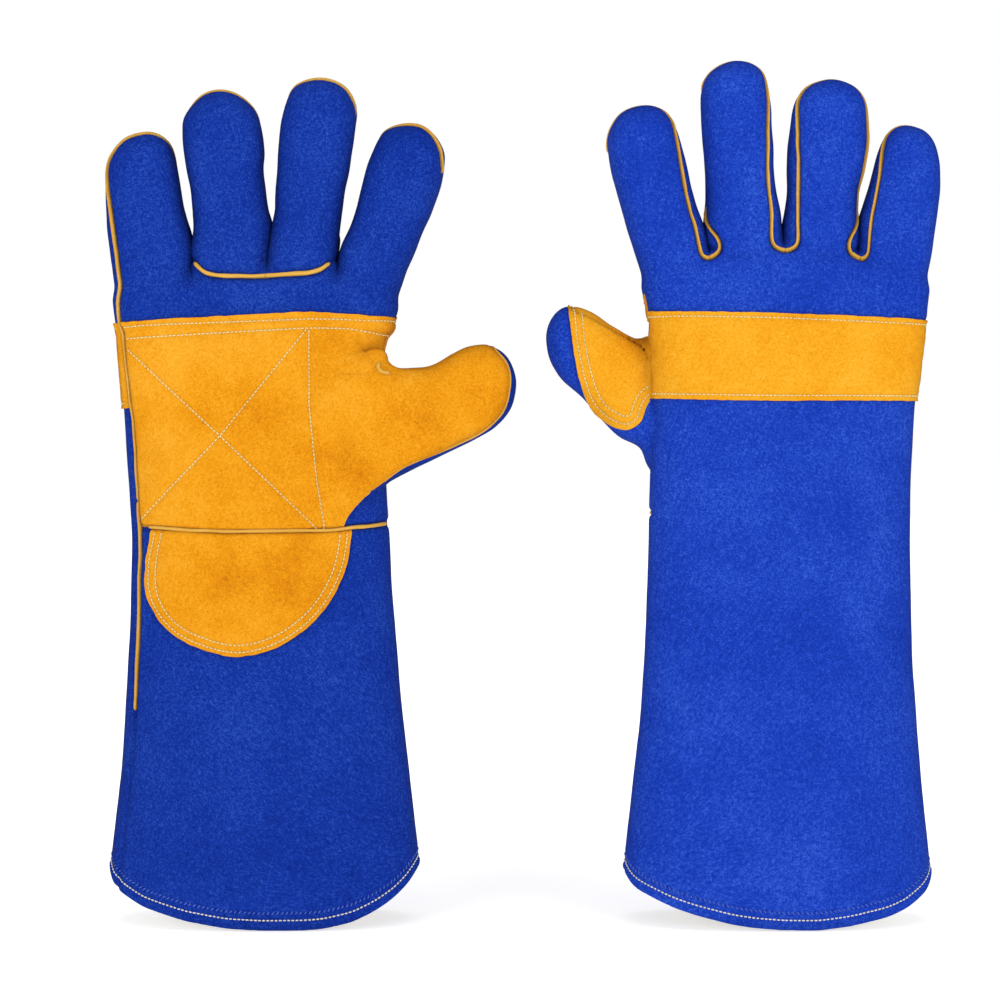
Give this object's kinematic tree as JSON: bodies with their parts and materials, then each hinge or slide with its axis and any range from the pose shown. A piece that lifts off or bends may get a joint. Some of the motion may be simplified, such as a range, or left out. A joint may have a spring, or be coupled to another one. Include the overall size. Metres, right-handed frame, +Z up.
{
  "type": "gauntlet glove pair",
  "caption": "Pair of long split-leather gauntlet gloves standing on their cuffs, with reinforced palm and knuckles and bending wrist, thumb and fingers.",
  "frame": {"origin": "on the plane the two hems rest on, midway between the outer sides of the two gloves and at the middle of their depth", "axes": "+Z up from the hems to the fingertips, +X to the right with both gloves side by side in the XZ plane, -Y to the front: glove 1 shows its palm to -Y and glove 2 shows its back to -Y"},
  "size_m": [0.398, 0.0708, 0.4115],
  "materials": {
    "blue_leather": "suede split cowhide, dyed royal blue",
    "yellow_leather": "suede split cowhide, dyed golden yellow",
    "welt_leather": "thin smooth leather welt strip, pale yellow",
    "fleece_lining": "brushed cotton fleece",
    "cotton_canvas": "plain woven cotton canvas"
  },
  "bodies": {
    "cuffs": {"glove1_cuff_back": "blue_leather", "glove1_cuff_front": "blue_leather", "glove1_cuff_lining": "cotton_canvas", "glove1_cuff_hem": "blue_leather", "glove1_cuff_patch": "yellow_leather", "glove1_cuff_side_welt": "welt_leather", "glove2_cuff_back": "blue_leather", "glove2_cuff_front": "blue_leather", "glove2_cuff_lining": "cotton_canvas", "glove2_cuff_hem": "blue_leather", "glove2_cuff_patch": "yellow_leather", "glove2_cuff_side_welt": "welt_leather"},
    "glove1_hand": {"glove1_hand_back": "blue_leather", "glove1_hand_palm": "blue_leather", "glove1_hand_lining": "fleece_lining", "glove1_knuckle_band": "yellow_leather", "glove1_palm_patch": "yellow_leather", "glove1_hand_welts": "welt_leather"},
    "glove1_thumb": {"glove1_thumb_back": "blue_leather", "glove1_thumb_palm": "yellow_leather", "glove1_thumb_lining": "fleece_lining", "glove1_thumb_patch": "yellow_leather", "glove1_thumb_welt": "welt_leather"},
    "glove1_little": {"glove1_little_back": "blue_leather", "glove1_little_front": "blue_leather", "glove1_little_lining": "fleece_lining"},
    "glove1_ring": {"glove1_ring_back": "blue_leather", "glove1_ring_front": "blue_leather", "glove1_ring_lining": "fleece_lining"},
    "glove1_middle": {"glove1_middle_back": "blue_leather", "glove1_middle_front": "blue_leather", "glove1_middle_lining": "fleece_lining"},
    "glove1_index": {"glove1_index_back": "blue_leather", "glove1_index_front": "blue_leather", "glove1_index_lining": "fleece_lining"},
    "glove2_hand": {"glove2_hand_back": "blue_leather", "glove2_hand_palm": "blue_leather", "glove2_hand_lining": "fleece_lining", "glove2_knuckle_band": "yellow_leather", "glove2_palm_patch": "yellow_leather", "glove2_hand_welts": "welt_leather"},
    "glove2_thumb": {"glove2_thumb_back": "blue_leather", "glove2_thumb_palm": "yellow_leather", "glove2_thumb_lining": "fleece_lining", "glove2_thumb_patch": "yellow_leather", "glove2_thumb_welt": "welt_leather"},
    "glove2_little": {"glove2_little_back": "blue_leather", "glove2_little_front": "blue_leather", "glove2_little_lining": "fleece_lining"},
    "glove2_ring": {"glove2_ring_back": "blue_leather", "glove2_ring_front": "blue_leather", "glove2_ring_lining": "fleece_lining"},
    "glove2_middle": {"glove2_middle_back": "blue_leather", "glove2_middle_front": "blue_leather", "glove2_middle_lining": "fleece_lining"},
    "glove2_index": {"glove2_index_back": "blue_leather", "glove2_index_front": "blue_leather", "glove2_index_lining": "fleece_lining"}
  },
  "joints": [
    {"name": "glove1_wrist_flex", "type": "hinge", "parent": "cuffs", "child": "glove1_hand", "pos_m": [-0.12536, 0, 0.189], "axis": [1, 0, 0], "range_deg": [-25, 25], "stiffness_Nm_per_rad": 1.2},
    {"name": "glove1_thumb_flex", "type": "hinge", "parent": "glove1_hand", "child": "glove1_thumb", "pos_m": [-0.05256, -0.013, 0.243], "axis": [0.4451, 0, -0.8955], "range_deg": [0, 45], "stiffness_Nm_per_rad": 0.12},
    {"name": "glove1_little_flex", "type": "hinge", "parent": "glove1_hand", "child": "glove1_little", "pos_m": [-0.17396, -0.008, 0.308], "axis": [0.9967, 0, 0.0809], "range_deg": [0, 60], "stiffness_Nm_per_rad": 0.08},
    {"name": "glove1_ring_flex", "type": "hinge", "parent": "glove1_hand", "child": "glove1_ring", "pos_m": [-0.13796, -0.008, 0.3115], "axis": [0.9977, 0, 0.0674], "range_deg": [0, 60], "stiffness_Nm_per_rad": 0.08},
    {"name": "glove1_middle_flex", "type": "hinge", "parent": "glove1_hand", "child": "glove1_middle", "pos_m": [-0.10446, -0.008, 0.3115], "axis": [0.995, 0, -0.0996], "range_deg": [0, 60], "stiffness_Nm_per_rad": 0.08},
    {"name": "glove1_index_flex", "type": "hinge", "parent": "glove1_hand", "child": "glove1_index", "pos_m": [-0.07116, -0.008, 0.3055], "axis": [0.9704, 0, -0.2416], "range_deg": [0, 60], "stiffness_Nm_per_rad": 0.08},
    {"name": "glove2_wrist_flex", "type": "hinge", "parent": "cuffs", "child": "glove2_hand", "pos_m": [0.12434, 0, 0.195], "axis": [-1, 0, 0], "range_deg": [-25, 25], "stiffness_Nm_per_rad": 1.2},
    {"name": "glove2_thumb_flex", "type": "hinge", "parent": "glove2_hand", "child": "glove2_thumb", "pos_m": [0.04844, 0.013, 0.2648], "axis": [-0.5609, 0, -0.8279], "range_deg": [0, 45], "stiffness_Nm_per_rad": 0.12},
    {"name": "glove2_little_flex", "type": "hinge", "parent": "glove2_hand", "child": "glove2_little", "pos_m": [0.17784, 0.008, 0.317], "axis": [-0.9941, 0, 0.1087], "range_deg": [0, 60], "stiffness_Nm_per_rad": 0.08},
    {"name": "glove2_ring_flex", "type": "hinge", "parent": "glove2_hand", "child": "glove2_ring", "pos_m": [0.14174, 0.008, 0.3235], "axis": [-0.9969, 0, 0.079], "range_deg": [0, 60], "stiffness_Nm_per_rad": 0.08},
    {"name": "glove2_middle_flex", "type": "hinge", "parent": "glove2_hand", "child": "glove2_middle", "pos_m": [0.10644, 0.008, 0.324], "axis": [-0.9989, 0, -0.0479], "range_deg": [0, 60], "stiffness_Nm_per_rad": 0.08},
    {"name": "glove2_index_flex", "type": "hinge", "parent": "glove2_hand", "child": "glove2_index", "pos_m": [0.07204, 0.008, 0.3195], "axis": [-0.9787, 0, -0.2055], "range_deg": [0, 60], "stiffness_Nm_per_rad": 0.08}
  ]
}
